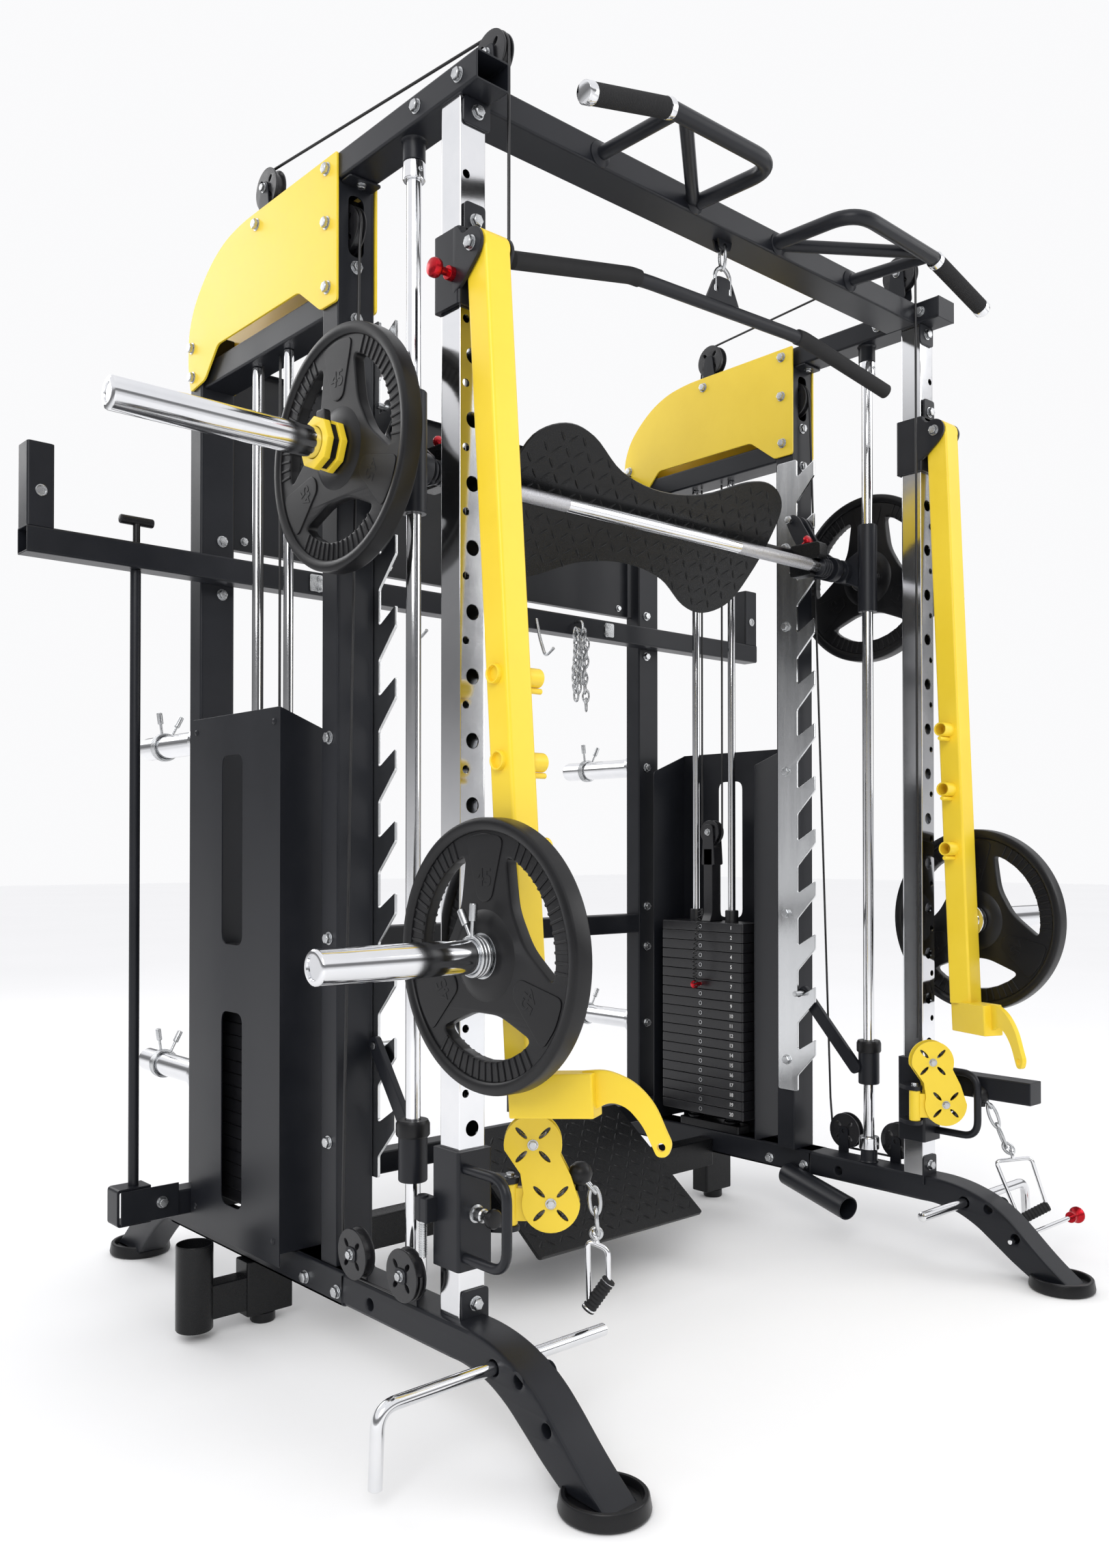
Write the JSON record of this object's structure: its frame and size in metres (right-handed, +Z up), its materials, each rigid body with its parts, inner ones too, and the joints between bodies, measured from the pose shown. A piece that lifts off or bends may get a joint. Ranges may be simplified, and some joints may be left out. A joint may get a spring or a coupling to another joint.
{
  "type": "smith machine",
  "caption": "Black and yellow smith machine with a bar on guide rods, cable trolleys, weight stacks, lever arms and a pull-up beam.",
  "frame": {"origin": "on the floor, at the middle of the machine's footprint box", "axes": "+X to the right as seen from the front, +Y from the front to the back, +Z up"},
  "size_m": [2.272, 1.625, 2.2222],
  "materials": {
    "black_paint": "satin black powder coat with a fine grain",
    "yellow_paint": "satin yellow powder coat",
    "chrome": "polished hard chrome",
    "zinc_steel": "zinc plated steel",
    "black_rubber": "matte moulded rubber",
    "cable_jacket": "nylon coated cable",
    "stack_steel": "smooth black paint",
    "red_anodised": "red anodised knob",
    "white_marking": "printed scale"
  },
  "bodies": {
    "frame": {"left_base_rail": "black_paint", "left_top_rail": "black_paint", "left_front_upright": "chrome", "left_middle_post": "black_paint", "left_header_rail": "black_paint", "left_gusset_plate": "yellow_paint", "left_guide_rod": "chrome", "left_stack_guides": "chrome", "left_rack_plate": "zinc_steel", "left_stack_shroud": "black_paint", "left_resting_stack": "stack_steel", "left_frame_cable": "cable_jacket", "left_top_cable": "cable_jacket", "right_base_rail": "black_paint", "right_top_rail": "black_paint", "right_front_upright": "chrome", "right_middle_post": "black_paint", "right_header_rail": "black_paint", "right_gusset_plate": "yellow_paint", "right_guide_rod": "chrome", "right_stack_guides": "chrome", "right_rack_plate": "zinc_steel", "right_stack_shroud": "black_paint", "right_resting_stack": "stack_steel", "right_frame_cable": "cable_jacket", "right_top_cable": "cable_jacket", "front_top_beam": "black_paint", "rear_frame": "black_paint", "rear_mid_beam": "black_paint", "sign_panel": "black_paint", "rear_base_beam": "black_paint", "low_cross_frame": "black_paint"},
    "left_leg_peg": {"left_leg_peg": "chrome"},
    "left_stack": {"left_lifted_stack": "stack_steel", "left_stack_cable": "cable_jacket"},
    "carriage": {"left_smith_carriage": "black_paint", "right_smith_carriage": "black_paint"},
    "left_bar_plate": {"left_bar_plate": "black_rubber"},
    "left_safety_stop": {"left_safety_stop": "black_paint"},
    "left_lever_bracket": {"left_lever_bracket": "black_paint"},
    "left_lever_arm": {"left_lever_arm": "yellow_paint"},
    "left_lever_plate": {"left_lever_plate": "black_rubber"},
    "left_trolley": {"left_trolley": "black_paint", "left_trolley_cable": "cable_jacket"},
    "left_swivel_head": {"left_swivel_head": "yellow_paint"},
    "right_leg_peg": {"right_leg_peg": "chrome"},
    "right_stack": {"right_lifted_stack": "stack_steel", "right_stack_cable": "cable_jacket"},
    "right_bar_plate": {"right_bar_plate": "black_rubber"},
    "right_safety_stop": {"right_safety_stop": "black_paint"},
    "right_lever_bracket": {"right_lever_bracket": "black_paint"},
    "right_lever_arm": {"right_lever_arm": "yellow_paint"},
    "right_lever_plate": {"right_lever_plate": "black_rubber"},
    "right_trolley": {"right_trolley": "black_paint", "right_trolley_cable": "cable_jacket"},
    "right_swivel_head": {"right_swivel_head": "yellow_paint"},
    "smith_bar": {"smith_bar": "chrome"},
    "press_plate": {"press_plate": "black_paint"},
    "lat_bar": {"lat_bar": "black_paint"}
  },
  "joints": [
    {"name": "carriage_slide", "type": "slide", "parent": "frame", "child": "carriage", "axis": [0, 0, 1], "range_m": [-0.5, 0.33]},
    {"name": "bar_turn", "type": "hinge", "parent": "carriage", "child": "smith_bar", "pos_m": [0, -0.2295, 1.553], "axis": [1, 0, 0], "range_deg": [0, 70]},
    {"name": "press_plate_tilt", "type": "hinge", "parent": "carriage", "child": "press_plate", "pos_m": [0, -0.2295, 1.553], "axis": [1, 0, 0], "range_deg": [-20, 8]},
    {"name": "lat_bar_swing", "type": "hinge", "parent": "frame", "child": "lat_bar", "pos_m": [0, -0.4015, 2.067], "axis": [1, 0, 0], "range_deg": [-20, 8]},
    {"name": "left_stack_slide", "type": "slide", "parent": "frame", "child": "left_stack", "axis": [0, 0, 1], "range_m": [0, 0.8], "deforming": ["left_stack_cable"]},
    {"name": "left_bar_plate_spin", "type": "hinge", "parent": "smith_bar", "child": "left_bar_plate", "pos_m": [-0.742, -0.2295, 1.553], "axis": [1, 0, 0], "continuous": true},
    {"name": "left_safety_stop_slide", "type": "slide", "parent": "frame", "child": "left_safety_stop", "axis": [0, 0, 1], "range_m": [-0.1, 0.375]},
    {"name": "left_lever_bracket_slide", "type": "slide", "parent": "frame", "child": "left_lever_bracket", "axis": [0, 0, 1], "range_m": [0, 0.12]},
    {"name": "left_lever_swing", "type": "hinge", "parent": "left_lever_bracket", "child": "left_lever_arm", "pos_m": [-0.645, -0.4845, 1.822], "axis": [-1, 0, 0], "range_deg": [0, 100]},
    {"name": "left_lever_plate_spin", "type": "hinge", "parent": "left_lever_arm", "child": "left_lever_plate", "pos_m": [-0.705, -0.56533, 0.74703], "axis": [1, 0, 0], "continuous": true},
    {"name": "left_trolley_slide", "type": "slide", "parent": "frame", "child": "left_trolley", "axis": [0, 0, 1], "range_m": [-0.01, 0.015], "deforming": ["left_trolley_cable"]},
    {"name": "left_swivel", "type": "hinge", "parent": "left_trolley", "child": "left_swivel_head", "pos_m": [-0.575, -0.4545, 0.342], "axis": [0, 0, 1], "range_deg": [-60, 40]},
    {"name": "left_leg_peg_slide", "type": "slide", "parent": "frame", "child": "left_leg_peg", "axis": [-1, 0, 0], "range_m": [0, 0.15]},
    {"name": "right_stack_slide", "type": "slide", "parent": "frame", "child": "right_stack", "axis": [0, 0, 1], "range_m": [0, 0.8], "deforming": ["right_stack_cable"]},
    {"name": "right_bar_plate_spin", "type": "hinge", "parent": "smith_bar", "child": "right_bar_plate", "pos_m": [0.742, -0.2295, 1.553], "axis": [1, 0, 0], "continuous": true},
    {"name": "right_safety_stop_slide", "type": "slide", "parent": "frame", "child": "right_safety_stop", "axis": [0, 0, 1], "range_m": [-0.1, 0.375]},
    {"name": "right_lever_bracket_slide", "type": "slide", "parent": "frame", "child": "right_lever_bracket", "axis": [0, 0, 1], "range_m": [0, 0.12]},
    {"name": "right_lever_swing", "type": "hinge", "parent": "right_lever_bracket", "child": "right_lever_arm", "pos_m": [0.645, -0.4845, 1.822], "axis": [-1, 0, 0], "range_deg": [0, 100]},
    {"name": "right_lever_plate_spin", "type": "hinge", "parent": "right_lever_arm", "child": "right_lever_plate", "pos_m": [0.705, -0.52964, 0.74495], "axis": [1, 0, 0], "continuous": true},
    {"name": "right_trolley_slide", "type": "slide", "parent": "frame", "child": "right_trolley", "axis": [0, 0, 1], "range_m": [-0.01, 0.015], "deforming": ["right_trolley_cable"]},
    {"name": "right_swivel", "type": "hinge", "parent": "right_trolley", "child": "right_swivel_head", "pos_m": [0.575, -0.4545, 0.342], "axis": [0, 0, 1], "range_deg": [-90, 5]},
    {"name": "right_leg_peg_slide", "type": "slide", "parent": "frame", "child": "right_leg_peg", "axis": [1, 0, 0], "range_m": [0, 0.15]}
  ]
}
